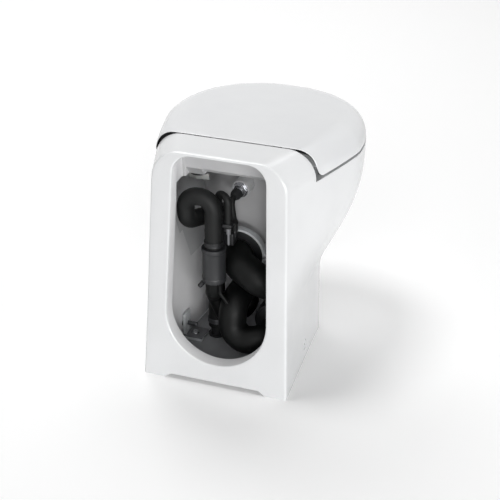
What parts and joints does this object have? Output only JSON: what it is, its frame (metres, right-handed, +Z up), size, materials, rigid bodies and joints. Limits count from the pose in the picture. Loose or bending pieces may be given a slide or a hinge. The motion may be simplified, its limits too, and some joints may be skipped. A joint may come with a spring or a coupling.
{
  "type": "toilet",
  "caption": "Compact ceramic RV toilet with wrap-over lid, hinged seat, open rear service bay, macerator pump, discharge loop and water inlet inside",
  "frame": {"origin": "centre of the bounding box's underside, on the floor", "axes": "+Z up, nose of the bowl faces -Y, open service side faces +Y"},
  "size_m": [0.366, 0.449, 0.425],
  "materials": {
    "glazed_china": "glazed vitreous china, glossy white, opaque",
    "gloss_shell": "moulded white duroplast, satin gloss",
    "soft_rubber": "soft grey rubber",
    "black_rubber": "black rubber",
    "hose_rubber": "matt dark grey rubber hose",
    "pale_zinc": "zinc plated steel",
    "white_nylon": "natural nylon",
    "grey_plate": "dark grey moulded plate",
    "grey_plastic": "dark grey moulded plastic",
    "dark_paint": "dark grey painted steel can",
    "bright_steel": "polished stainless steel",
    "black_plastic": "black moulded plastic"
  },
  "bodies": {
    "toilet": {"base_plate": "grey_plate", "ceramic_body": "glazed_china", "check_valve_sleeve": "grey_plastic", "clamp_ring": "pale_zinc", "clamp_screw": "bright_steel", "drain_hose": "hose_rubber", "duckbill_valve": "black_rubber", "floor_bracket_left": "pale_zinc", "floor_bracket_right": "pale_zinc", "floor_outlet": "black_plastic", "floor_screw_left": "bright_steel", "floor_screw_right": "bright_steel", "gooseneck_hose": "hose_rubber", "hinge_bolt_left": "bright_steel", "hinge_bolt_right": "bright_steel", "hinge_pin_left": "bright_steel", "hinge_pin_right": "bright_steel", "hinge_post_left": "bright_steel", "hinge_post_right": "bright_steel", "hinge_washer_left": "black_rubber", "hinge_washer_right": "black_rubber", "hose_band_neck": "black_plastic", "hose_band_outlet": "bright_steel", "inlet_boot": "black_rubber", "inlet_hose": "hose_rubber", "inlet_nut": "bright_steel", "inlet_stub": "bright_steel", "inlet_washer": "bright_steel", "lower_bend": "hose_rubber", "macerator_housing": "black_plastic", "motor_can": "dark_paint", "motor_end_cap": "black_plastic", "motor_saddle_back": "black_rubber", "motor_saddle_front": "black_rubber", "outlet_elbow": "hose_rubber", "outlet_flange": "black_plastic", "outlet_gasket": "black_rubber", "reducer": "black_plastic", "riser_elbow": "hose_rubber", "side_cap_left": "gloss_shell", "side_cap_right": "gloss_shell", "side_screw_left": "bright_steel", "side_screw_right": "bright_steel", "sleeve_nipple": "black_plastic", "solenoid_valve": "black_plastic", "valve_coil": "black_plastic", "vent_barb": "grey_plastic", "vent_clip": "black_plastic", "vent_hose": "hose_rubber", "wing_nut_left": "white_nylon", "wing_nut_right": "white_nylon"},
    "seat": {"seat_foot_back_left": "soft_rubber", "seat_foot_back_right": "soft_rubber", "seat_foot_front_left": "soft_rubber", "seat_foot_front_right": "soft_rubber", "seat_ring": "gloss_shell"},
    "lid": {"lid": "gloss_shell", "lid_foot_left": "soft_rubber", "lid_foot_right": "soft_rubber"},
    "rotor": {"macerator_rotor": "bright_steel"}
  },
  "joints": [
    {"name": "seat_hinge", "type": "hinge", "parent": "toilet", "child": "seat", "pos_m": [0, 0.0975, 0.413], "axis": [-1, 0, 0], "range_deg": [0, 7]},
    {"name": "lid_hinge", "type": "hinge", "parent": "seat", "child": "lid", "pos_m": [0, 0.0975, 0.413], "axis": [-1, 0, 0], "range_deg": [0, 93]},
    {"name": "rotor_spin", "type": "hinge", "parent": "toilet", "child": "rotor", "pos_m": [-0.07, 0.0845, 0.08], "axis": [0, 1, 0], "continuous": true}
  ]
}
